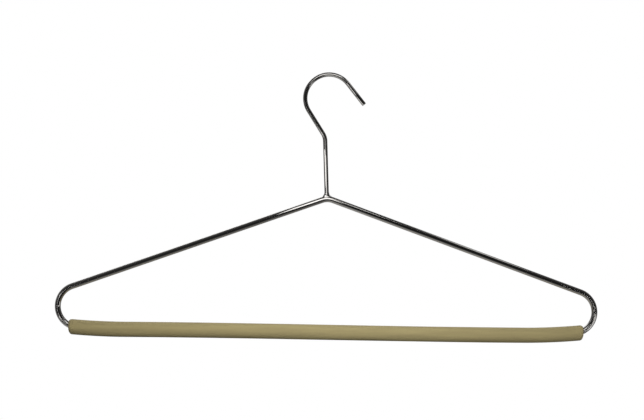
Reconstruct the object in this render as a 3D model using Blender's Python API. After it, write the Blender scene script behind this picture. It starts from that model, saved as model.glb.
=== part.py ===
"""Clothes hanger: a chrome-plated wire frame and hook, with a foam sleeve on the trouser bar.

Metres, +Z up. The hanger is flat in the XZ plane. X is its width, with the hook's mouth on the +X
side, and Y runs along the rail that it hangs on. The origin is where the top of the rail touches
the inside of the hook.
"""
import math

import bmesh
import bpy
from mathutils import Matrix, Vector

for old in list(bpy.data.objects):
    bpy.data.objects.remove(old, do_unlink=True)

# Frame wire: one closed triangle of round steel wire, welded shut in the middle of the bar
FRAME_WIRE_R = 0.00238
HALF_WIDTH = 0.2149
BAR_Z = -0.2024
ARM_SLOPE = math.radians(19.7)
SHOULDER_BEND_R = 0.0168
APEX_BEND_R = 0.013
BAR_END_SLOPE = math.radians(5.0)
BAR_END_BEND_R = 0.415

# Hook: thinner round wire, bent to a rail of up to 34 mm, with an open straight end
HOOK_WIRE_R = 0.00175
HOOK_INNER_R = 0.0171
HOOK_CENTRE_X = 0.0003
TIP_SLOPE = math.radians(51.3)
TIP_RUN = 0.0212
TIP_CHAMFER = 0.0003
LEAN_FROM_VERTICAL = math.radians(32.6)
LEAN_RUN = 0.0211
HIP_BEND_R = 0.012
SHANK_FROM_VERTICAL = math.radians(2.3)

# Welds: a saddle-shaped fillet where the hook stands on the frame, and a flush butt weld in the bar
WELD_HEIGHT = 0.0042
WELD_TOP_WALL = 0.0005
WELD_BASE_REACH = 0.0085
WELD_BASE_HALF_DEPTH = 0.0021
WELD_BASE_ABOVE_WIRE_CENTRE = 0.0003
WELD_LEVELS = 8
BAR_WELD_LENGTH = 0.0012

# Foam sleeve: a slit tube round the whole bar
SLEEVE_R = 0.006
SLEEVE_HALF_LENGTH = 0.204
SLEEVE_END_RISE_RUN = 0.047
SLEEVE_END_RISE = 0.0022
SLEEVE_END_ROUND = 0.0009
SLIT_WIDTH = 0.0004
SLIT_TOP = 0.0014

# Play between neighbouring pieces, and the number of flats that a round shape is drawn with
GAP = 0.0003
WIRE_SIDES = 20
SLEEVE_SIDES = 32

# Places worked out from the dimensions above
SHOULDER_X = HALF_WIDTH - FRAME_WIRE_R - SHOULDER_BEND_R
BAR_END_Z = BAR_Z + BAR_END_BEND_R * (1 - math.cos(BAR_END_SLOPE))
SHOULDER_Z = BAR_END_Z + SHOULDER_BEND_R * math.cos(BAR_END_SLOPE)
BAR_END_X = SHOULDER_X + SHOULDER_BEND_R * math.sin(BAR_END_SLOPE)
ARM_FOOT_X = SHOULDER_X + SHOULDER_BEND_R * math.sin(ARM_SLOPE)
ARM_FOOT_Z = SHOULDER_Z + SHOULDER_BEND_R * math.cos(ARM_SLOPE)
ARM_HEAD_X = APEX_BEND_R * math.sin(ARM_SLOPE)
ARM_HEAD_Z = ARM_FOOT_Z + (ARM_FOOT_X - ARM_HEAD_X) * math.tan(ARM_SLOPE)
ARM_RUN = (ARM_FOOT_X - ARM_HEAD_X) / math.cos(ARM_SLOPE)
APEX_Z = ARM_HEAD_Z + APEX_BEND_R * (1 - math.cos(ARM_SLOPE))
HOOK_BEND_R = HOOK_INNER_R + HOOK_WIRE_R
HOOK_FOOT_Z = APEX_Z + FRAME_WIRE_R + GAP

CHROME = ("chrome_plated_steel", (0.76, 0.77, 0.78), 0.08, 1.0)
FOAM = ("khaki_foam", (0.33, 0.27, 0.13), 0.9, 0.0)


class WireBender:
    """Grows a round wire in the XZ plane as a bending machine does, by feeding and bending it.

    A heading is an angle from +X towards +Z, and a positive bend turns the same way.
    """

    def __init__(self, radius, x, z, heading, sides=WIRE_SIDES):
        self.mesh = bmesh.new()
        self.point = Vector((x, 0, z))
        self.heading = heading
        upright = Matrix.Rotation(math.pi / 2 - heading, 4, "Y")
        circle = bmesh.ops.create_circle(self.mesh, radius=radius, segments=sides,
                                         matrix=Matrix.Translation(self.point) @ upright)
        self.ring = list({edge for vert in circle["verts"] for edge in vert.link_edges})
        self.first_ring = self.ring

    def feed(self, length):
        step = length * Vector((math.cos(self.heading), 0, math.sin(self.heading)))
        grown = bmesh.ops.extrude_edge_only(self.mesh, edges=self.ring)["geom"]
        verts = {item for item in grown if isinstance(item, bmesh.types.BMVert)}
        bmesh.ops.translate(self.mesh, vec=step, verts=list(verts))
        self.ring = [item for item in grown
                     if isinstance(item, bmesh.types.BMEdge) and set(item.verts) <= verts]
        self.point += step

    def bend(self, radius, angle, steps):
        side = math.copysign(1.0, angle)
        to_centre = Vector((-math.sin(self.heading), 0, math.cos(self.heading))) * side
        centre = self.point + radius * to_centre
        verts = list({vert for edge in self.ring for vert in edge.verts})
        spun = bmesh.ops.spin(self.mesh, geom=verts + self.ring, cent=centre, axis=(0, -1, 0),
                              angle=angle, steps=steps)
        self.ring = [item for item in spun["geom_last"] if isinstance(item, bmesh.types.BMEdge)]
        self.point = centre + Matrix.Rotation(-angle, 3, "Y") @ (self.point - centre)
        self.heading += angle

    def close(self):
        """Fills both cut ends and returns the finished wire."""
        for ring in (self.first_ring, self.ring):
            bmesh.ops.edgeloop_fill(self.mesh, edges=ring)
        bmesh.ops.recalc_face_normals(self.mesh, faces=self.mesh.faces)
        return self.mesh

    def join_ends(self):
        """Merges the last ring into the first, for a wire that comes back to where it began."""
        bmesh.ops.remove_doubles(self.mesh, verts=self.mesh.verts, dist=0.00001)
        bmesh.ops.recalc_face_normals(self.mesh, faces=self.mesh.faces)
        return self.mesh


def make_material(name, colour, roughness, metallic):
    material = bpy.data.materials.new(name)
    material.use_nodes = True
    shader = material.node_tree.nodes["Principled BSDF"]
    shader.inputs["Base Color"].default_value = (*colour, 1.0)
    shader.inputs["Roughness"].default_value = roughness
    shader.inputs["Metallic"].default_value = metallic
    return material


def add_object(name, shape, finish):
    mesh = bpy.data.meshes.new(name)
    shape.to_mesh(mesh)
    shape.free()
    mesh.shade_smooth()
    mesh.set_sharp_from_angle(angle=math.radians(40))
    mesh.materials.append(make_material(f"{name}_{finish[0]}", *finish[1:]))
    piece = bpy.data.objects.new(name, mesh)
    bpy.context.collection.objects.link(piece)
    return piece


def cut(piece, name, shape):
    """Takes a hidden cutter's shape away from a piece."""
    mesh = bpy.data.meshes.new(name)
    shape.to_mesh(mesh)
    shape.free()
    cutter = bpy.data.objects.new(name, mesh)
    bpy.context.collection.objects.link(cutter)
    cutter.hide_render = True
    cutter.display_type = "WIRE"
    boolean = piece.modifiers.new(name, "BOOLEAN")
    boolean.operation = "DIFFERENCE"
    boolean.solver = "EXACT"
    boolean.object = cutter


def bend_frame(radius, start_x):
    """The frame wire from just right of the bar's middle, round the triangle and back."""
    wire = WireBender(radius, start_x, BAR_Z, 0.0)
    bar_run = BAR_END_X - BAR_END_BEND_R * math.sin(BAR_END_SLOPE) - start_x
    shoulder_turn = math.pi - ARM_SLOPE - BAR_END_SLOPE
    wire.feed(bar_run)
    wire.bend(BAR_END_BEND_R, BAR_END_SLOPE, 4)
    wire.bend(SHOULDER_BEND_R, shoulder_turn, 14)
    wire.feed(ARM_RUN)
    wire.bend(APEX_BEND_R, 2 * ARM_SLOPE, 6)
    wire.feed(ARM_RUN)
    wire.bend(SHOULDER_BEND_R, shoulder_turn, 14)
    wire.bend(BAR_END_BEND_R, BAR_END_SLOPE, 4)
    wire.feed(bar_run)
    return wire


def bend_hook(radius):
    """The hook wire from its free end over the rail and down the shank to its foot."""
    tip_x = HOOK_CENTRE_X + HOOK_BEND_R * math.sin(TIP_SLOPE) + TIP_RUN * math.cos(TIP_SLOPE)
    tip_z = -HOOK_INNER_R + HOOK_BEND_R * math.cos(TIP_SLOPE) - TIP_RUN * math.sin(TIP_SLOPE)
    wire = WireBender(radius, tip_x, tip_z, math.pi - TIP_SLOPE)
    wire.feed(TIP_RUN)
    wire.bend(HOOK_BEND_R, math.pi / 2 + TIP_SLOPE + LEAN_FROM_VERTICAL, 18)
    wire.feed(LEAN_RUN)
    wire.bend(HIP_BEND_R, SHANK_FROM_VERTICAL - LEAN_FROM_VERTICAL, 5)
    wire.feed((wire.point.z - HOOK_FOOT_Z) / math.cos(SHANK_FROM_VERTICAL))
    return wire


def make_frame_wire():
    """One wire whose two cut ends face each other across the butt weld."""
    wire = bend_frame(FRAME_WIRE_R, BAR_WELD_LENGTH / 2 + GAP)
    add_object("frame_wire", wire.close(), CHROME)


def make_hook():
    """The hook, with the sharp edge taken off its free end. Returns where its foot stands in X."""
    wire = bend_hook(HOOK_WIRE_R)
    foot_x = wire.point.x
    tip_edges = wire.first_ring
    shape = wire.close()
    bmesh.ops.bevel(shape, geom=tip_edges, offset=TIP_CHAMFER, segments=1, profile=0.5,
                    affect="EDGES", material=-1)
    add_object("hook", shape, CHROME)
    return foot_x


def make_apex_weld(foot_x):
    """Weld metal that flows from the hook's foot out along both arms, seated on the frame wire."""
    shape = bmesh.new()
    top_half = HOOK_WIRE_R + GAP + WELD_TOP_WALL
    top = FRAME_WIRE_R + WELD_HEIGHT
    rings = []
    for level in range(WELD_LEVELS):
        down = level / (WELD_LEVELS - 1)
        half_width = top_half + (WELD_BASE_REACH - top_half) * (1 - math.sqrt(1 - down ** 2))
        half_depth = top_half + (WELD_BASE_HALF_DEPTH - top_half) * down
        height = APEX_Z + top + (WELD_BASE_ABOVE_WIRE_CENTRE - top) * down
        size = Matrix.Diagonal((half_width, half_depth, 1, 1))
        place = Matrix.Translation((foot_x * (1 - down), 0, height))
        circle = bmesh.ops.create_circle(shape, radius=1, segments=WIRE_SIDES, matrix=place @ size)
        rings.append(list({edge for vert in circle["verts"] for edge in vert.link_edges}))
    for upper, lower in zip(rings, rings[1:]):
        bmesh.ops.bridge_loops(shape, edges=upper + lower)
    for end in (rings[0], rings[-1]):
        bmesh.ops.edgeloop_fill(shape, edges=end)
    bmesh.ops.recalc_face_normals(shape, faces=shape.faces)
    weld = add_object("apex_weld", shape, CHROME)
    cut(weld, "apex_weld_seat", bend_frame(FRAME_WIRE_R + GAP, 0.0).join_ends())
    cut(weld, "apex_weld_socket", bend_hook(HOOK_WIRE_R + GAP).close())


def make_bar_weld():
    """The butt weld that closes the frame, dressed flush with the wire and hidden by the sleeve."""
    wire = WireBender(FRAME_WIRE_R, -BAR_WELD_LENGTH / 2, BAR_Z, 0.0)
    wire.feed(BAR_WELD_LENGTH)
    add_object("bar_butt_weld", wire.close(), CHROME)


def make_foam_sleeve():
    """The foam tube: its two ends rise a little, as the bar's own ends do, and it is slit below."""
    rise_angle = 2 * math.atan(SLEEVE_END_RISE / SLEEVE_END_RISE_RUN)
    rise_r = SLEEVE_END_RISE_RUN / math.sin(rise_angle)
    bar = WireBender(SLEEVE_R, -SLEEVE_HALF_LENGTH, BAR_Z + SLEEVE_END_RISE, -rise_angle, SLEEVE_SIDES)
    bar.bend(rise_r, rise_angle, 5)
    bar.feed(2 * (SLEEVE_HALF_LENGTH - SLEEVE_END_RISE_RUN))
    bar.bend(rise_r, rise_angle, 5)
    end_edges = bar.first_ring + bar.ring
    shape = bar.close()
    bmesh.ops.bevel(shape, geom=end_edges, offset=SLEEVE_END_ROUND, segments=2, profile=0.5,
                    affect="EDGES", material=-1)
    sleeve = add_object("foam_sleeve", shape, FOAM)
    cut(sleeve, "foam_sleeve_bore", bend_frame(FRAME_WIRE_R + GAP, 0.0).join_ends())
    slit = bmesh.new()
    size = Matrix.Diagonal((2 * HALF_WIDTH, SLIT_WIDTH, 2 * SLEEVE_R, 1))
    place = Matrix.Translation((0, 0, BAR_Z + SLIT_TOP - SLEEVE_R))
    bmesh.ops.create_cube(slit, size=1, matrix=place @ size)
    cut(sleeve, "foam_sleeve_slit", slit)


make_frame_wire()
hook_foot_x = make_hook()
make_apex_weld(hook_foot_x)
make_bar_weld()
make_foam_sleeve()
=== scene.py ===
"""The looks of a wire clothes hanger with a foam sleeve on its bar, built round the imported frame."""
import math

import bmesh
import bpy
from mathutils import Matrix, Vector, noise


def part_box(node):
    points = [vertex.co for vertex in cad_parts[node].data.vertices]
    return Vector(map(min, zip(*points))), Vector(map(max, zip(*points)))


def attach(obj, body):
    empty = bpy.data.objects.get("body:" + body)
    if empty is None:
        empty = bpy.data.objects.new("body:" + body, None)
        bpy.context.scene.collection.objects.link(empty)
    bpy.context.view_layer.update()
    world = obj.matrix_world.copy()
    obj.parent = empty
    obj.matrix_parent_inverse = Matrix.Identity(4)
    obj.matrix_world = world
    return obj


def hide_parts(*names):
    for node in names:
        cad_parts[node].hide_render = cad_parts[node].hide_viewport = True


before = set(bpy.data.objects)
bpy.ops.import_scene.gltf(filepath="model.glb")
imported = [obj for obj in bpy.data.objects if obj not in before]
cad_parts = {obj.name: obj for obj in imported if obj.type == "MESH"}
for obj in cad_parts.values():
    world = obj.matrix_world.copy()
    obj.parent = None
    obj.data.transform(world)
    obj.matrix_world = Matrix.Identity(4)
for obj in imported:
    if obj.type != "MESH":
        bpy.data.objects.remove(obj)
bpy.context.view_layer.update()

# ---------------------------------------------------------------------------------------------
# Camera. It looks straight at the flat side of the hanger from about a metre away, level with
# the frame's apex, and is turned a little on its own axis because the hanger was laid so.
# ---------------------------------------------------------------------------------------------
VIEW_WIDTH = 0.510
LENS_MM = 70.0
SENSOR_MM = 36.0
CAMERA_X = -0.0042
CAMERA_Z = -0.1056
CAMERA_ROLL = math.radians(-0.7)

camera_distance = VIEW_WIDTH * LENS_MM / SENSOR_MM
camera_data = bpy.data.cameras.new("camera")
camera_data.lens = LENS_MM
camera_data.sensor_width = SENSOR_MM
camera = bpy.data.objects.new("camera", camera_data)
bpy.context.scene.collection.objects.link(camera)
camera.matrix_world = (Matrix.Translation((CAMERA_X, -camera_distance, CAMERA_Z))
                       @ Matrix.Rotation(CAMERA_ROLL, 4, "Y") @ Matrix.Rotation(math.pi / 2, 4, "X"))
bpy.context.scene.camera = camera

# ---------------------------------------------------------------------------------------------
# Frame wire. One length of 4.76 mm low-carbon steel wire, drawn smooth through a die, bent cold
# round formers into the two arms, the shoulders and the trouser bar, then polished and
# chrome-plated after welding.
# ---------------------------------------------------------------------------------------------
ARM_SLOPE = math.radians(19.7)
SHOULDER_BEND_R = 0.0168
APEX_BEND_R = 0.013
BAR_END_SLOPE = math.radians(5.0)
BAR_END_BEND_R = 0.415
BAR_END_STEP = BAR_END_SLOPE / 8
WIRE_SIDES = 48
BEND_STEP = math.radians(3.0)
FEED_STEP = 0.012
SHOULDER_FLATTENING = 0.02
CHROME_BRIGHT = "#D0CECB"

frame_low, frame_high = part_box("frame_wire")
frame_r = frame_high.y
bar_z = frame_low.z + frame_r
apex_z = frame_high.z - frame_r
shoulder_x = frame_high.x - frame_r - SHOULDER_BEND_R
shoulder_z = (bar_z + BAR_END_BEND_R * (1 - math.cos(BAR_END_SLOPE))
              + SHOULDER_BEND_R * math.cos(BAR_END_SLOPE))
arm_head_x = APEX_BEND_R * math.sin(ARM_SLOPE)
arm_head_z = apex_z - APEX_BEND_R * (1 - math.cos(ARM_SLOPE))
arm_run = (shoulder_x + SHOULDER_BEND_R * math.sin(ARM_SLOPE) - arm_head_x) / math.cos(ARM_SLOPE)


def start_ring(shape, radius, sides):
    """Starts a shape with a circle, and gives back its points and its ring of edges."""
    verts = bmesh.ops.create_circle(shape, radius=radius, segments=sides)["verts"]
    return verts, list(dict.fromkeys(edge for vert in verts for edge in vert.link_edges))


def grow_ring(shape, ring):
    """Extrudes a ring of edges in place, and gives back the new ring's points and edges."""
    grown = bmesh.ops.extrude_edge_only(shape, edges=ring)["geom"]
    verts = [item for item in grown if isinstance(item, bmesh.types.BMVert)]
    edges = [item for item in grown if isinstance(item, bmesh.types.BMEdge)]
    fresh = set(verts)
    return verts, [edge for edge in edges if fresh.issuperset(edge.verts)]


class DrawnWire:
    """A round wire in the XZ plane, fed and bent one ring at a time as a bending machine does.

    Each point keeps in "drawn" its place on the straight wire before bending: how far along it
    is, and where it is in the round section. Marks left by the drawing die follow that.
    """

    def __init__(self, radius, x, z, heading, sides=WIRE_SIDES, feed_step=FEED_STEP):
        self.feed_step = feed_step
        self.shape = bmesh.new()
        self.drawn = self.shape.verts.layers.float_vector.new("drawn")
        self.along = 0.0
        self.point = Vector((x, 0, z))
        self.heading = heading
        circle, self.ring = start_ring(self.shape, radius, sides)
        for vert in circle:
            vert[self.drawn] = (0, vert.co.x, vert.co.y)
        self.first_ring = self.ring
        upright = Matrix.Rotation(math.pi / 2 - heading, 4, "Y")
        bmesh.ops.transform(self.shape, matrix=Matrix.Translation(self.point) @ upright, verts=circle)

    def mark(self, verts, length):
        """Writes on the newest ring's points how far along the straight wire they are."""
        self.along += length
        for vert in verts:
            vert[self.drawn].x = self.along

    def feed(self, length):
        """Pushes the wire straight on."""
        count = max(1, round(length / self.feed_step))
        step = length / count * Vector((math.cos(self.heading), 0, math.sin(self.heading)))
        for _ in range(count):
            verts, self.ring = grow_ring(self.shape, self.ring)
            bmesh.ops.translate(self.shape, vec=step, verts=verts)
            self.mark(verts, length / count)
            self.point += step

    def bend(self, bend_r, angle, step=BEND_STEP):
        """Bends the wire round to the left of its heading, or to the right for a negative angle."""
        count = max(1, round(abs(angle) / step))
        side = math.copysign(1.0, angle)
        centre = self.point + bend_r * side * Vector((-math.sin(self.heading), 0, math.cos(self.heading)))
        for _ in range(count):
            verts = list(dict.fromkeys(vert for edge in self.ring for vert in edge.verts))
            spun = bmesh.ops.spin(self.shape, geom=verts + self.ring, cent=centre, axis=(0, -1, 0),
                                  angle=angle / count, steps=1)["geom_last"]
            self.ring = [item for item in spun if isinstance(item, bmesh.types.BMEdge)]
            self.mark([item for item in spun if isinstance(item, bmesh.types.BMVert)],
                      bend_r * abs(angle) / count)
        self.point = centre + Matrix.Rotation(-angle, 3, "Y") @ (self.point - centre)
        self.heading += angle

    def close(self):
        """Closes both ends with a flat face and gives back the finished shape."""
        for ring in (self.first_ring, self.ring):
            bmesh.ops.edgeloop_fill(self.shape, edges=ring)
        bmesh.ops.recalc_face_normals(self.shape, faces=self.shape.faces)
        return self.shape


def finish_piece(name, shape, material, sharp_degrees=35):
    """Makes a shape into a smooth-shaded object at the origin that rides on the one body."""
    mesh = bpy.data.meshes.new(name)
    shape.to_mesh(mesh)
    shape.free()
    mesh.shade_smooth()
    mesh.set_sharp_from_angle(angle=math.radians(sharp_degrees))
    mesh.materials.append(material)
    piece = bpy.data.objects.new(name, mesh)
    bpy.context.scene.collection.objects.link(piece)
    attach(piece, "root")
    return piece


def flatten_bend(shape, centre_x, centre_z, bend_r, first, last, amount):
    """A wire bent tight goes slightly oval: thinner across the bend, most in the bend's middle."""
    for vert in shape.verts:
        out = Vector((vert.co.x - centre_x, 0, vert.co.z - centre_z))
        angle = math.atan2(out.z, out.x) % (2 * math.pi)
        if abs(out.length - bend_r) < bend_r / 2 and first < angle < last:
            share = math.sin(math.pi * (angle - first) / (last - first))
            radius = bend_r + (out.length - bend_r) * (1 - amount * share)
            vert.co.x = centre_x + out.x / out.length * radius
            vert.co.z = centre_z + out.z / out.length * radius


def linear(hex_colour):
    """An sRGB hex colour as the linear red, green, blue and alpha that a shader takes."""
    channels = [int(hex_colour[i:i + 2], 16) / 255 for i in (1, 3, 5)]
    return [c / 12.92 if c <= 0.04045 else ((c + 0.055) / 1.055) ** 2.4 for c in channels] + [1.0]


def add_node(tree, kind, values=None, links=None, **settings):
    """Adds a node to a tree, with its settings, its socket values, and its links from other sockets."""
    node = tree.nodes.new(kind)
    for name, value in settings.items():
        setattr(node, name, value)
    for name, value in (values or {}).items():
        node.inputs[name].default_value = value
    for name, source in (links or {}).items():
        tree.links.new(source, node.inputs[name])
    return node


def new_material(name):
    """A new material, with its node tree and its Principled shader."""
    material = bpy.data.materials.new(name)
    material.use_nodes = True
    return material, material.node_tree, material.node_tree.nodes["Principled BSDF"]


def blend_colours(tree, factor, first, second):
    """Mixes two hex colours by a factor socket and returns the mixed colour's socket."""
    mix = add_node(tree, "ShaderNodeMix", links={0: factor}, data_type="RGBA")
    mix.inputs[6].default_value = linear(first)
    mix.inputs[7].default_value = linear(second)
    return mix.outputs[2]


def spread(tree, socket, low, high, to_low=0.0, to_high=1.0):
    """Stretches the part of a value between low and high over a new range."""
    return add_node(tree, "ShaderNodeMapRange", links={"Value": socket},
                    values={"From Min": low, "From Max": high, "To Min": to_low, "To Max": to_high}
                    ).outputs["Result"]


def chrome_plated_wire():
    """Bright decorative chrome over nickel on drawn steel wire.

    The eye sees a bright neutral mirror, faint lines along the wire where the die drew it, a
    soft ripple under the plating, and hazy patches where hands and rails have rubbed it.
    """
    material, tree, shader = new_material("chrome_plated_drawn_wire")
    straight = add_node(tree, "ShaderNodeAttribute", attribute_name="drawn").outputs["Vector"]
    # One die line is about 0.3 mm round the wire and runs for about 60 mm
    lines_at = add_node(tree, "ShaderNodeVectorMath", operation="MULTIPLY", links={0: straight})
    lines_at.inputs[1].default_value = (1 / 0.060, 1 / 0.0003, 1 / 0.0003)
    lines = add_node(tree, "ShaderNodeTexNoise", links={"Vector": lines_at.outputs[0]},
                     values={"Scale": 1.0, "Detail": 2.0}).outputs["Fac"]
    # Ripple left by straightening the wire, about 9 mm from crest to crest
    ripple = add_node(tree, "ShaderNodeTexNoise", links={"Vector": straight},
                      values={"Scale": 1 / 0.009, "Detail": 1.0}).outputs["Fac"]
    # Rubbed and fingered patches, about 25 mm long
    haze = add_node(tree, "ShaderNodeTexNoise", links={"Vector": straight},
                    values={"Scale": 1 / 0.025, "Detail": 4.0, "Roughness": 0.6}).outputs["Fac"]
    tree.links.new(blend_colours(tree, spread(tree, haze, 0.35, 0.65), CHROME_BRIGHT, "#C2BFBB"),
                   shader.inputs["Base Color"])
    rough = add_node(tree, "ShaderNodeMath", operation="ADD",
                     links={0: spread(tree, haze, 0.45, 0.75, 0.06, 0.14),
                            1: spread(tree, lines, 0.45, 0.70, 0.0, 0.03)})
    tree.links.new(rough.outputs[0], shader.inputs["Roughness"])
    bump = add_node(tree, "ShaderNodeBump", links={"Height": ripple},
                    values={"Strength": 1.0, "Distance": 0.000004})
    tree.links.new(bump.outputs["Normal"], shader.inputs["Normal"])
    shader.inputs["Metallic"].default_value = 1.0
    return material


chrome_wire = chrome_plated_wire()
butt_weld_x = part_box("bar_butt_weld")[1].x
bar_run = (shoulder_x + SHOULDER_BEND_R * math.sin(BAR_END_SLOPE)
           - BAR_END_BEND_R * math.sin(BAR_END_SLOPE) - butt_weld_x)
shoulder_turn = math.pi - ARM_SLOPE - BAR_END_SLOPE
wire = DrawnWire(frame_r, butt_weld_x, bar_z, 0.0)
wire.feed(bar_run)
wire.bend(BAR_END_BEND_R, BAR_END_SLOPE, BAR_END_STEP)
wire.bend(SHOULDER_BEND_R, shoulder_turn)
wire.feed(arm_run)
wire.bend(APEX_BEND_R, 2 * ARM_SLOPE)
wire.feed(arm_run)
wire.bend(SHOULDER_BEND_R, shoulder_turn)
wire.bend(BAR_END_BEND_R, BAR_END_SLOPE, BAR_END_STEP)
wire.feed(bar_run)
frame_shape = wire.close()
# The left shoulder is flattened, the frame turned over, and the other shoulder flattened as the left
bend_top = math.pi / 2 + ARM_SLOPE
bend_foot = math.pi * 3 / 2 - BAR_END_SLOPE
flatten_bend(frame_shape, -shoulder_x, shoulder_z, SHOULDER_BEND_R, bend_top, bend_foot,
             SHOULDER_FLATTENING)
bmesh.ops.scale(frame_shape, vec=(-1, 1, 1), verts=frame_shape.verts)
flatten_bend(frame_shape, -shoulder_x, shoulder_z, SHOULDER_BEND_R, bend_top, bend_foot,
             SHOULDER_FLATTENING)
bmesh.ops.reverse_faces(frame_shape, faces=frame_shape.faces)
frame_wire = finish_piece("bent_frame_wire", frame_shape, chrome_wire)
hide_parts("frame_wire")

# ---------------------------------------------------------------------------------------------
# Hook. A second, thinner wire of 3.5 mm, bent to sit on a rail of up to 34 mm, with a leaning
# run and a hip bend that bring its shank back over the middle. Its free end is sheared square
# and the burr is taken off before plating.
# ---------------------------------------------------------------------------------------------
HOOK_CENTRE_X = 0.0003
HOOK_INNER_R = 0.0171
TIP_SLOPE = math.radians(51.3)
TIP_RUN = 0.0212
TIP_ROUND = 0.00035
LEAN_FROM_VERTICAL = math.radians(32.6)
LEAN_RUN = 0.0211
HIP_BEND_R = 0.012
SHANK_FROM_VERTICAL = math.radians(2.3)
SHANK_INTO_WELD = 0.0009

hook_low, hook_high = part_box("hook")
hook_r = hook_high.y
hook_bend_r = HOOK_INNER_R + hook_r
tip_x = HOOK_CENTRE_X + hook_bend_r * math.sin(TIP_SLOPE) + TIP_RUN * math.cos(TIP_SLOPE)
tip_z = hook_bend_r * math.cos(TIP_SLOPE) - HOOK_INNER_R - TIP_RUN * math.sin(TIP_SLOPE)
wire = DrawnWire(hook_r, tip_x, tip_z, math.pi - TIP_SLOPE)
wire.feed(TIP_RUN)
wire.bend(hook_bend_r, math.pi / 2 + TIP_SLOPE + LEAN_FROM_VERTICAL)
wire.feed(LEAN_RUN)
wire.bend(HIP_BEND_R, SHANK_FROM_VERTICAL - LEAN_FROM_VERTICAL)
wire.feed((wire.point.z - hook_low.z + SHANK_INTO_WELD) / math.cos(SHANK_FROM_VERTICAL))
shank_foot = wire.point.copy()
tip_edges = wire.first_ring
hook_shape = wire.close()
bmesh.ops.bevel(hook_shape, geom=tip_edges, offset=TIP_ROUND, segments=3, profile=0.5,
                affect="EDGES", material=-1)
hook = finish_piece("bent_hook_wire", hook_shape, chrome_wire, sharp_degrees=60)
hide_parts("hook")

# ---------------------------------------------------------------------------------------------
# Apex weld. The hook's foot is butted on the frame's crown and welded, and the bead is dressed
# to a fillet that runs out along both arms. It is plated with the rest, so only its slightly
# lumpy surface tells it from the wire.
# ---------------------------------------------------------------------------------------------
WELD_RISE = 0.0036
WELD_ARM_REACH = 0.0038
WELD_FLANK = 0.0021
WELD_RINGS = 20
WELD_LUMP = 0.00026
WELD_LUMP_SIZE = 0.0016
WELD_LUMP_LIFT = 0.5
WELD_PROUD = 0.00002


def arm_centre_z(x):
    """Height of the frame wire's centre line at x, near the apex."""
    x = abs(x)
    if x < arm_head_x:
        return apex_z - APEX_BEND_R + math.sqrt(APEX_BEND_R ** 2 - x ** 2)
    return arm_head_z - (x - arm_head_x) * math.tan(ARM_SLOPE)


def frame_top_z(x, y):
    """Height of the frame wire's upper surface over a point."""
    slope = min(abs(x) / arm_head_x, 1) * ARM_SLOPE
    half = math.sqrt(max((frame_r + WELD_PROUD) ** 2 - y ** 2, 0))
    return arm_centre_z(x) + half / math.cos(slope)


def chrome_plated_weld():
    """Chrome over dressed weld metal: the wire's mirror, broken up by dimples about 1 mm across."""
    material, tree, shader = new_material("chrome_plated_weld_metal")
    place = add_node(tree, "ShaderNodeTexCoord").outputs["Object"]
    dimples = add_node(tree, "ShaderNodeTexNoise", links={"Vector": place},
                       values={"Scale": 1 / 0.0010, "Detail": 3.0}).outputs["Fac"]
    tree.links.new(blend_colours(tree, spread(tree, dimples, 0.4, 0.7), CHROME_BRIGHT, "#B7B4B0"),
                   shader.inputs["Base Color"])
    tree.links.new(spread(tree, dimples, 0.4, 0.7, 0.05, 0.16), shader.inputs["Roughness"])
    bump = add_node(tree, "ShaderNodeBump", links={"Height": dimples},
                    values={"Strength": 1.0, "Distance": 0.00003})
    tree.links.new(bump.outputs["Normal"], shader.inputs["Normal"])
    shader.inputs["Metallic"].default_value = 1.0
    return material


weld_metal = chrome_plated_weld()
weld_shape = bmesh.new()
level = weld_shape.verts.layers.float.new("level")
verts, ring = start_ring(weld_shape, 1, WIRE_SIDES)
for number in range(1, WELD_RINGS + 1):
    verts, ring = grow_ring(weld_shape, ring)
    for vert in verts:
        vert[level] = number / WELD_RINGS
# Each strand of the bead runs down the shank to the crease, then out to its toe on the frame
shank_r = hook_r + WELD_PROUD
lean = math.tan(SHANK_FROM_VERTICAL) * WELD_RISE
for vert in weld_shape.verts:
    across = vert.co.x
    deep = vert.co.y
    down = vert[level]
    crease = Vector((shank_foot.x + shank_r * across, shank_r * deep, 0))
    crease.z = frame_top_z(crease.x, crease.y)
    top = crease + Vector((-lean, 0, WELD_RISE))
    toe = Vector((shank_foot.x + (shank_r + WELD_ARM_REACH) * across, WELD_FLANK * deep, 0))
    toe.z = frame_top_z(toe.x, toe.y)
    spot = top * (1 - down) ** 2 + crease * 2 * down * (1 - down) + toe * down ** 2
    lump = WELD_LUMP * math.sin(math.pi * down) * noise.noise(spot / WELD_LUMP_SIZE)
    vert.co = spot + Vector((across, deep, WELD_LUMP_LIFT)).normalized() * lump
bmesh.ops.holes_fill(weld_shape, edges=weld_shape.edges)
bmesh.ops.recalc_face_normals(weld_shape, faces=weld_shape.faces)
apex_weld = finish_piece("apex_weld_fillet", weld_shape, weld_metal, sharp_degrees=60)
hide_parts("apex_weld")

# ---------------------------------------------------------------------------------------------
# Bar butt weld. The frame wire's two ends are upset-welded in the middle of the bar and ground
# flush. The foam hides it.
# ---------------------------------------------------------------------------------------------
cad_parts["bar_butt_weld"].data.materials.clear()
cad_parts["bar_butt_weld"].data.materials.append(weld_metal)

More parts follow.
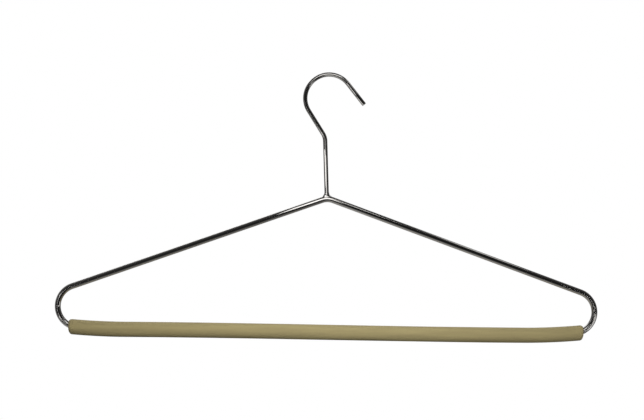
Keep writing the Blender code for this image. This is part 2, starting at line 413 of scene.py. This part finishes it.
# ---------------------------------------------------------------------------------------------
# Foam sleeve. A tube of khaki closed-cell foam, extruded with a thin skin, slit along its
# underside so that it can be pressed over the finished bar and glued shut. Its ends are cut by
# a blade, and the rising wire pushes them up and out of round.
# ---------------------------------------------------------------------------------------------
SLEEVE_RISE_RUN = 0.047
SLEEVE_RISE = 0.0022
SLEEVE_SIDES = 96
SLEEVE_STEP = 0.0015
SLEEVE_LEAN = 0.00055
SLEEVE_LEAN_HALF_WAVE = 0.26
SLEEVE_LEAN_FADE = 6
SLEEVE_SWELL = 0.010
SLEEVE_SWELL_LENGTH = 0.060
SLEEVE_SWELL_ROW = (0.3, 0.7)
SLEEVE_DENT = 0.0022
SLEEVE_DENT_LENGTH = 0.009
END_TAPER = 0.0027
END_TAPER_STEP = 0.0004
SLEEVE_END_TRIM = 0.0009
SLIT_HALF_WIDTH = 0.00022
SLIT_DEPTH = 0.0013
# Each cut end's rim stands this far off the wire, and the close-fitting bore begins this far inside it
END_RIM_GAP = 0.0005
BORE_LEAD_IN = 0.0008
BORE_CLEARANCE = 0.00003


def sleeve_axis_z(x):
    """Height of the foam's centre line: level, lifted at both ends, and pulled a little out of true."""
    past = max(abs(x) - (sleeve_half - SLEEVE_RISE_RUN), 0) / SLEEVE_RISE_RUN
    fade = 1 - (abs(x) / sleeve_half) ** SLEEVE_LEAN_FADE
    lean = SLEEVE_LEAN * math.sin(math.pi * x / SLEEVE_LEAN_HALF_WAVE)
    return bar_z + SLEEVE_RISE * past ** 2 - lean * fade


def sleeve_swell(spot):
    """How uneven the extruded tube is at a spot: long swells, and shallow dents about 9 mm across."""
    swell = SLEEVE_SWELL * noise.noise(Vector((spot.x / SLEEVE_SWELL_LENGTH, *SLEEVE_SWELL_ROW)))
    dent = SLEEVE_DENT * noise.noise(spot / SLEEVE_DENT_LENGTH)
    return 1 + swell + dent


def khaki_foam():
    """Closed-cell foam with an extruded skin.

    The eye sees a dry matt surface with no shine, fine cells about 0.4 mm across that are drawn
    at 0.8 mm so that they show, and soft streaks along the tube where the skin is thicker.
    """
    material, tree, shader = new_material("khaki_closed_cell_foam")
    place = add_node(tree, "ShaderNodeTexCoord").outputs["Object"]
    cells = add_node(tree, "ShaderNodeTexVoronoi", links={"Vector": place}, feature="F1",
                     values={"Scale": 1 / 0.0008, "Randomness": 1.0}).outputs["Distance"]
    pores = add_node(tree, "ShaderNodeTexNoise", links={"Vector": place},
                     values={"Scale": 1 / 0.0006, "Detail": 4.0, "Roughness": 0.65}).outputs["Fac"]
    # The extruder leaves streaks about 45 mm long and 3 mm wide
    streaks_at = add_node(tree, "ShaderNodeMapping", links={"Vector": place},
                          values={"Scale": (1 / 0.045, 1 / 0.003, 1 / 0.003)})
    streaks = add_node(tree, "ShaderNodeTexNoise", links={"Vector": streaks_at.outputs["Vector"]},
                       values={"Scale": 1.0, "Detail": 3.0}).outputs["Fac"]
    skin = blend_colours(tree, spread(tree, streaks, 0.35, 0.65), "#A89B6E", "#9F9268")
    dark = add_node(tree, "ShaderNodeMix", links={0: spread(tree, pores, 0.55, 0.8, 0.0, 0.35), 6: skin},
                    data_type="RGBA")
    dark.inputs[7].default_value = linear("#7C7252")
    tree.links.new(dark.outputs[2], shader.inputs["Base Color"])
    tree.links.new(spread(tree, pores, 0.3, 0.7, 0.82, 0.95), shader.inputs["Roughness"])
    coarse = add_node(tree, "ShaderNodeBump", links={"Height": cells},
                      values={"Strength": 0.6, "Distance": 0.00008})
    fine = add_node(tree, "ShaderNodeBump", links={"Height": pores, "Normal": coarse.outputs["Normal"]},
                    values={"Strength": 0.8, "Distance": 0.00008})
    tree.links.new(fine.outputs["Normal"], shader.inputs["Normal"])
    shader.inputs["IOR"].default_value = 1.45
    shader.inputs["Sheen Weight"].default_value = 0.04
    shader.inputs["Sheen Roughness"].default_value = 0.6
    return material


def shoulder_wire_z(x):
    """Height of the frame wire's centre where it climbs out of the foam."""
    out = max(abs(x) - shoulder_x, 0)
    return shoulder_z - math.sqrt(SHOULDER_BEND_R ** 2 - out ** 2)


sleeve_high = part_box("foam_sleeve")[1]
sleeve_r = sleeve_high.y
sleeve_half = sleeve_high.x - SLEEVE_END_TRIM
tube = DrawnWire(sleeve_r, -sleeve_half, 0, 0, SLEEVE_SIDES, END_TAPER_STEP)
tube.feed(END_TAPER)
tube.feed_step = SLEEVE_STEP
tube.feed(2 * (sleeve_half - END_TAPER))
tube.feed_step = END_TAPER_STEP
tube.feed(END_TAPER)
# The tube's lowest line is opened into a narrow strip, and the strip's middle pushed in as the slit
slit_line = [edge for edge in tube.shape.edges
             if all(vert.co.z < -sleeve_r * 0.9999 for vert in edge.verts)]
slit = bmesh.ops.bevel(tube.shape, geom=slit_line, offset=SLIT_HALF_WIDTH, segments=2, profile=0.5,
                       affect="EDGES", material=-1)
slit_floor = [vert for vert in slit["verts"] if abs(vert.co.y) < SLIT_HALF_WIDTH / 4]
bmesh.ops.translate(tube.shape, vec=(0, 0, SLIT_DEPTH), verts=slit_floor)
# The tube takes its uneven shape, and its last few millimetres draw in to a rim round the wire
for vert in tube.shape.verts:
    x = vert.co.x
    outward = Vector((0, vert.co.y, vert.co.z)).normalized()
    size = sleeve_swell(vert.co)
    skin = Vector((x, vert.co.y * size, sleeve_axis_z(x) + vert.co.z * size))
    taper = min(max(abs(x) - (sleeve_half - END_TAPER), 0) / END_TAPER, 1)
    rim = Vector((x, 0, shoulder_wire_z(x))) + outward * (frame_r + END_RIM_GAP)
    vert.co = skin.lerp(rim, 1 - math.sqrt(1 - taper ** 2))

# The bore follows the wire from just inside one cut end to just inside the other
bore_turn = math.asin((sleeve_half - BORE_LEAD_IN - shoulder_x) / SHOULDER_BEND_R)
bore = DrawnWire(frame_r + BORE_CLEARANCE, BORE_LEAD_IN - sleeve_half,
                 shoulder_z - SHOULDER_BEND_R * math.cos(bore_turn), -bore_turn, SLEEVE_SIDES)
bore.bend(SHOULDER_BEND_R, bore_turn - BAR_END_SLOPE)
bore.bend(BAR_END_BEND_R, BAR_END_SLOPE, BAR_END_STEP)
bore.feed(-2 * bore.point.x)
bore.bend(BAR_END_BEND_R, BAR_END_SLOPE, BAR_END_STEP)
bore.bend(SHOULDER_BEND_R, bore_turn - BAR_END_SLOPE)
bore_mesh = bpy.data.meshes.new("bore")
bore.shape.to_mesh(bore_mesh)
bore.shape.free()
sleeve_shape = tube.shape
sleeve_shape.from_mesh(bore_mesh)
bpy.data.meshes.remove(bore_mesh)
for side in (-1, 1):
    end = [edge for edge in sleeve_shape.edges if edge.is_boundary and edge.verts[0].co.x * side > 0]
    bmesh.ops.bridge_loops(sleeve_shape, edges=end)
bmesh.ops.recalc_face_normals(sleeve_shape, faces=sleeve_shape.faces)
sleeve = finish_piece("foam_tube_sleeve", sleeve_shape, khaki_foam(), sharp_degrees=50)
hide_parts("foam_sleeve")

# ---------------------------------------------------------------------------------------------
# Studio. A plain pale floor well below the hanger, which fades into a white surround. A soft lamp
# in front and a little above lights the foam. The chrome mirrors a room that is dark round the
# camera and grey beside, below and behind, with soft boxes, strip lamps and small cards in it.
# ---------------------------------------------------------------------------------------------
FLOOR_Z = -0.75
FLOOR_R = 2.7
FLOOR_FADE_START = 0.9
KEY_DISTANCE = 0.36
KEY_HEIGHT = math.radians(23)
KEY_SIZE = 0.16
KEY_RADIANCE = 10.5
FILL_BELOW = 0.05
FILL_ABOVE = 0.42
BACK_FILL_FROM = 0.1
BACK_FILL_TO = 0.9
BACK_FILL_GAIN = 2.2
DOWN_LEAN = math.radians(20)
LOWER_ROOM_TO = -0.6
SIDE_BLEND = 0.5
LEFT_GAIN = 1.15
RIGHT_GAIN = 0.70

floor_shape = bmesh.new()
bmesh.ops.create_circle(floor_shape, cap_ends=True, radius=FLOOR_R, segments=64,
                        matrix=Matrix.Translation((0, 0, FLOOR_Z)))
floor_mesh = bpy.data.meshes.new("floor")
floor_shape.to_mesh(floor_mesh)
floor_shape.free()
# Matt white paint: even, with no shine, and clear towards its rim so that no edge shows
paint, tree, shader = new_material("matt_white_floor_paint")
place = add_node(tree, "ShaderNodeTexCoord").outputs["Object"]
flat = add_node(tree, "ShaderNodeVectorMath", operation="MULTIPLY", links={0: place})
flat.inputs[1].default_value = (1, 1, 0)
away = add_node(tree, "ShaderNodeVectorMath", operation="LENGTH", links={0: flat.outputs[0]})
tree.links.new(spread(tree, away.outputs["Value"], FLOOR_FADE_START, FLOOR_R, 1.0, 0.0),
               shader.inputs["Alpha"])
shader.inputs["Base Color"].default_value = linear("#F4F4F2")
shader.inputs["Roughness"].default_value = 0.9
floor_mesh.materials.append(paint)
floor = bpy.data.objects.new("floor", floor_mesh)
floor.visible_glossy = False
floor.visible_diffuse = False
bpy.context.scene.collection.objects.link(floor)


def soft_box(name, middle, aim, width, height, radiance, mirrored=True, roll=0.0):
    """A square-edged lamp aimed at a point. Only a mirrored one shows in the chrome."""
    lamp_data = bpy.data.lights.new(name, "AREA")
    lamp_data.shape = "RECTANGLE"
    lamp_data.size = width
    lamp_data.size_y = height
    # A flat lamp's power is pi times its area times its radiance
    lamp_data.energy = radiance * math.pi * width * height
    lamp = bpy.data.objects.new(name, lamp_data)
    facing = (Vector(aim) - Vector(middle)).to_track_quat("-Z", "Y").to_matrix().to_4x4()
    lamp.matrix_world = Matrix.Translation(middle) @ facing @ Matrix.Rotation(roll, 4, "Z")
    lamp.visible_camera = False
    lamp.visible_glossy = mirrored
    bpy.context.scene.collection.objects.link(lamp)


key_reach = KEY_DISTANCE * math.cos(KEY_HEIGHT)
key_rise = KEY_DISTANCE * math.sin(KEY_HEIGHT)
# These three light the foam and the floor, and the chrome doesn't mirror them
soft_box("key_lamp", (0.01, -key_reach, bar_z + key_rise), (0, 0, bar_z), KEY_SIZE, KEY_SIZE,
         KEY_RADIANCE, mirrored=False)
soft_box("floor_lamp", (0, 0, -0.30), (0, 0, FLOOR_Z), 3.2, 3.2, 0.9, mirrored=False)
soft_box("back_lamp", (-0.25, 0.80, -0.10), (0, 0, bar_z), 0.45, 0.45, 4.5, mirrored=False)
# Soft boxes behind, above and to the right, and a white card low down by the right shoulder
soft_box("back_soft_box", (-0.35, 0.75, 0.45), (0, 0, -0.1), 0.50, 0.35, 1.6)
soft_box("tall_soft_box", (-0.02, -0.60, 0.26), (0, 0, 0), 0.24, 0.32, 1.2)
soft_box("high_soft_box", (0.25, -0.60, 0.564), (0, 0, -0.05), 0.16, 0.16, 1.8)
soft_box("right_soft_box", (0.382, 0.05, 0.386), (0.115, 0, -0.146), 0.35, 0.10, 0.80)
soft_box("low_right_card", (0.44, -0.15, -0.32), (0.20, 0, -0.19), 0.20, 0.20, 1.0)
# Strip lamps beside the camera draw the thin bright lines along the shoulders
soft_box("left_band", (-0.63, -0.99, -0.134), (-0.21, 0, -0.18), 0.50, 0.05, 1.1, roll=math.radians(-30))
soft_box("low_left_band", (-0.55, -0.99, -0.368), (-0.21, 0, -0.20), 0.40, 0.03, 2.5, roll=math.radians(30))
soft_box("right_band", (0.485, -0.99, -0.285), (0.21, 0, -0.187), 0.23, 0.018, 4.5, roll=math.radians(-15))
# Small dim cards close in front of the hook light its shank, hip and top, and the left arm's head
soft_box("shank_lamp", (-0.002, -0.050, -0.077), (-0.002, 0, -0.077), 0.036, 0.034, 1.25)
soft_box("hip_lamp", (-0.003, -0.050, -0.053), (-0.003, 0, -0.053), 0.040, 0.014, 0.35)
soft_box("hook_lamp", (-0.002, -0.050, 0.025), (-0.002, 0, 0.025), 0.036, 0.046, 0.45)
soft_box("arm_lamp", (-0.033, -0.044, -0.072), (-0.018, 0, -0.103), 0.030, 0.036, 1.7)

world = bpy.data.worlds.new("white_surround")
world.use_nodes = True
bpy.context.scene.world = world
tree = world.node_tree
sky = tree.nodes["Background"]
ray = add_node(tree, "ShaderNodeLightPath")
toward = add_node(tree, "ShaderNodeTexCoord").outputs["Generated"]
axes = add_node(tree, "ShaderNodeSeparateXYZ", links={0: toward})
# Seen along the hanger's depth: how far a direction turns to the right, and how far it rises
sideways = add_node(tree, "ShaderNodeVectorMath", operation="MULTIPLY", links={0: toward})
sideways.inputs[1].default_value = (1, 0, 1)
around = add_node(tree, "ShaderNodeVectorMath", operation="NORMALIZE", links={0: sideways.outputs[0]})
turn = add_node(tree, "ShaderNodeSeparateXYZ", links={0: around.outputs[0]})
rise = add_node(tree, "ShaderNodeVectorMath", operation="DOT_PRODUCT", links={0: around.outputs[0]})
rise.inputs[1].default_value = (math.sin(DOWN_LEAN), 0, math.cos(DOWN_LEAN))


def room_greys(tree, factor, stops):
    """Grey levels of the room from in front (0) through beside (0.5) to behind (1)."""
    ramp = add_node(tree, "ShaderNodeValToRGB", links={"Fac": factor})
    for place, _ in stops[1:-1]:
        ramp.color_ramp.elements.new(place)
    for element, (place, grey) in zip(ramp.color_ramp.elements, stops):
        element.position = place
        element.color = (grey, grey, grey, 1)
    return ramp.outputs["Color"]


behind = spread(tree, axes.outputs["Y"], -1.0, 1.0)
upper = room_greys(tree, behind, [(0, 0.015), (0.12, 0.03), (0.3, 0.06), (0.5, 0.10),
                                  (0.8, 0.20), (0.92, 0.20), (1, 0.75)])
lower = room_greys(tree, behind, [(0, 0.015), (0.06, 0.03), (0.14, 0.13), (0.3, 0.34),
                                  (0.5, 0.38), (0.8, 0.40), (0.92, 0.30), (1, 0.60)])
room = add_node(tree, "ShaderNodeMix", data_type="RGBA",
                links={0: spread(tree, rise.outputs["Value"], -1.0, LOWER_ROOM_TO), 6: lower, 7: upper})
side_gain = spread(tree, turn.outputs["X"], -SIDE_BLEND, SIDE_BLEND, LEFT_GAIN, RIGHT_GAIN)
room_side = add_node(tree, "ShaderNodeMath", operation="MULTIPLY", links={0: room.outputs[2], 1: side_gain})
fill_up = spread(tree, axes.outputs["Z"], -1.0, 1.0, FILL_BELOW, FILL_ABOVE)
fill_back = spread(tree, axes.outputs["Y"], BACK_FILL_FROM, BACK_FILL_TO, 1.0, BACK_FILL_GAIN)
fill = add_node(tree, "ShaderNodeMath", operation="MULTIPLY", links={0: fill_up, 1: fill_back})
# The surround shows white to the eye, the chrome mirrors the room, and matt things take the fill
seen = add_node(tree, "ShaderNodeMix",
                links={0: ray.outputs["Is Glossy Ray"], 2: fill.outputs[0], 3: room_side.outputs[0]})
shown = add_node(tree, "ShaderNodeMix", links={0: ray.outputs["Is Camera Ray"], 2: seen.outputs[0]})
shown.inputs[3].default_value = 1.0
sky.inputs["Color"].default_value = (1, 1, 1, 1)
tree.links.new(shown.outputs[0], sky.inputs["Strength"])
bpy.context.scene.view_settings.view_transform = "Standard"
